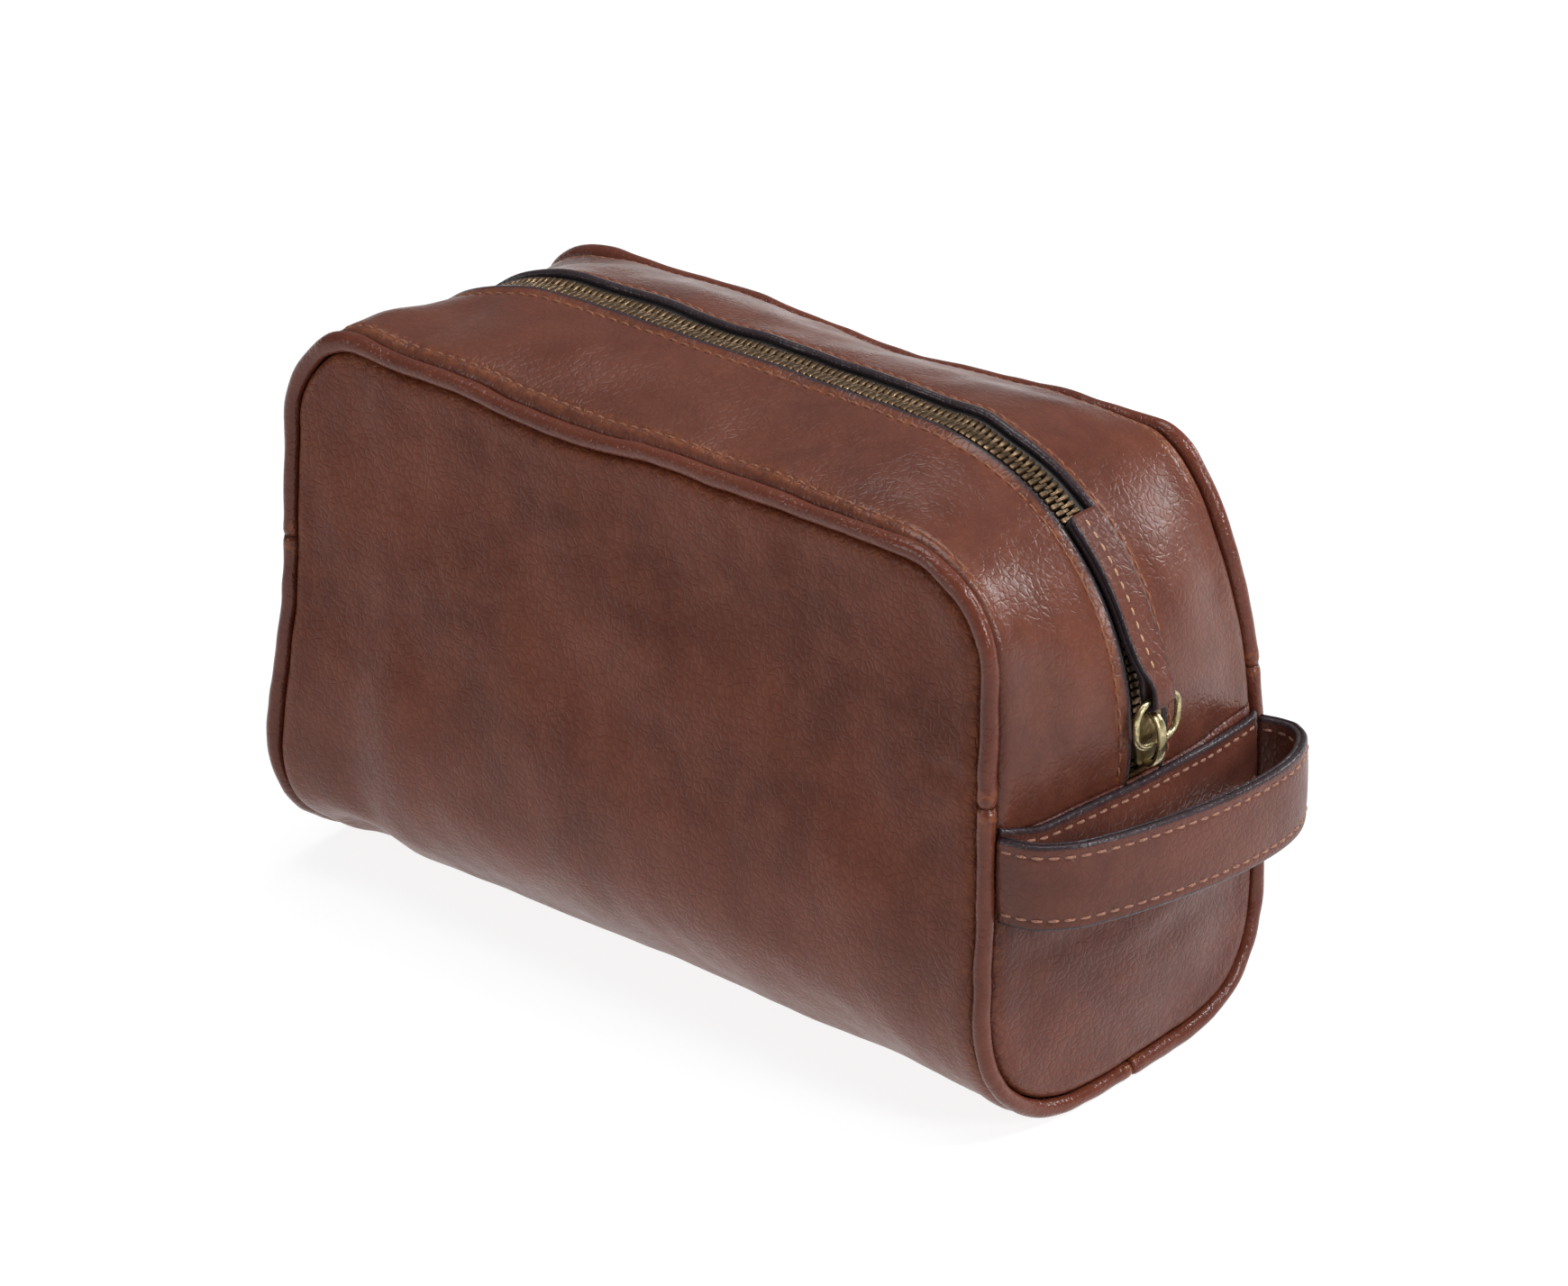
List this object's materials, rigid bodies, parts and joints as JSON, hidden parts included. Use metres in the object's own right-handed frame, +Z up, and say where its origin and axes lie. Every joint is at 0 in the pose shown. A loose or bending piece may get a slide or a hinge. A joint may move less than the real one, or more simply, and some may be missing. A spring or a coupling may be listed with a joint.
{
  "type": "shaving kit bag",
  "caption": "Leather wash bag with piped seams, a zip over the top and down both ends, a leather zip pull and a loop handle on one end.",
  "frame": {"origin": "on the ground under the middle of the flat bottom", "axes": "+X along the bag towards the handle, -Y the front, +Z up"},
  "size_m": [0.2788, 0.114, 0.1642],
  "materials": {
    "leather": "smooth mottled reddish brown, soft sheen",
    "trim": "smooth reddish brown, dark painted edges",
    "brass": "antique brass, satin",
    "zip_tape": "dark woven tape",
    "lining": "plain woven cotton",
    "cord": "twisted filler cord",
    "board": "matt stiffener board"
  },
  "bodies": {
    "bag": {"body_wrap": "leather", "base_board": "board", "lining_wrap": "lining", "end_panel_right": "leather", "lining_end_right": "lining", "end_panel_left": "leather", "lining_end_left": "lining", "gusset_right_front": "leather", "zip_tape_right_front": "zip_tape", "zip_teeth_right_front": "brass", "lining_right_front": "lining", "piping_right_front": "trim", "piping_cord_right_front": "cord", "gusset_right_back": "leather", "zip_tape_right_back": "zip_tape", "zip_teeth_right_back": "brass", "lining_right_back": "lining", "piping_right_back": "trim", "piping_cord_right_back": "cord", "gusset_left_front": "leather", "zip_tape_left_front": "zip_tape", "zip_teeth_left_front": "brass", "lining_left_front": "lining", "piping_left_front": "trim", "piping_cord_left_front": "cord", "gusset_left_back": "leather", "zip_tape_left_back": "zip_tape", "zip_teeth_left_back": "brass", "lining_left_back": "lining", "piping_left_back": "trim", "piping_cord_left_back": "cord", "piping_front_arch": "trim", "piping_cord_front_arch": "cord", "piping_back_arch": "trim", "piping_cord_back_arch": "cord", "zip_stop_right": "brass", "zip_stop_left": "brass", "handle_backing": "leather", "end_strip_left": "leather", "handle_root_front": "trim", "handle_root_back": "trim"},
    "lip_front": {"gusset_top_front": "leather", "zip_tape_top_front": "zip_tape", "zip_teeth_top_front": "brass", "lining_top_front": "lining"},
    "lip_back": {"gusset_top_back": "leather", "zip_tape_top_back": "zip_tape", "zip_teeth_top_back": "brass", "lining_top_back": "lining"},
    "slider": {"slider_body": "brass", "slider_crown": "brass"},
    "pull_ring": {"pull_ring": "brass"},
    "pull_tab": {"pull_tab": "trim"},
    "handle": {"handle_strap": "trim", "handle_core": "cord", "handle_lining": "trim"}
  },
  "joints": [
    {"name": "lip_front_fold", "type": "hinge", "parent": "bag", "child": "lip_front", "pos_m": [0, -0.0465, 0.153], "axis": [-1, 0, 0], "range_deg": [-60, 0]},
    {"name": "lip_back_fold", "type": "hinge", "parent": "bag", "child": "lip_back", "pos_m": [0, 0.0465, 0.153], "axis": [1, 0, 0], "range_deg": [-60, 0]},
    {"name": "slider_travel", "type": "hinge", "parent": "bag", "child": "slider", "pos_m": [0.0615, 0, 0.0991], "axis": [0, -1, 0], "range_deg": [0, 45]},
    {"name": "ring_swing", "type": "hinge", "parent": "slider", "child": "pull_ring", "pos_m": [0.12984, 0, 0.09612], "axis": [0, 1, 0], "range_deg": [0, 95]},
    {"name": "tab_swing", "type": "hinge", "parent": "pull_ring", "child": "pull_tab", "pos_m": [0.13038, 0, 0.1086], "axis": [0, 1, 0], "range_deg": [0, 45]},
    {"name": "handle_flex", "type": "hinge", "parent": "bag", "child": "handle", "pos_m": [0.1305, 0, 0.0755], "axis": [0, 1, 0], "range_deg": [-20, 20], "stiffness_Nm_per_rad": 0.15}
  ],
  "couplings": [
    {"joint": "lip_back_fold", "follows": "lip_front_fold", "ratio": 1}
  ]
}
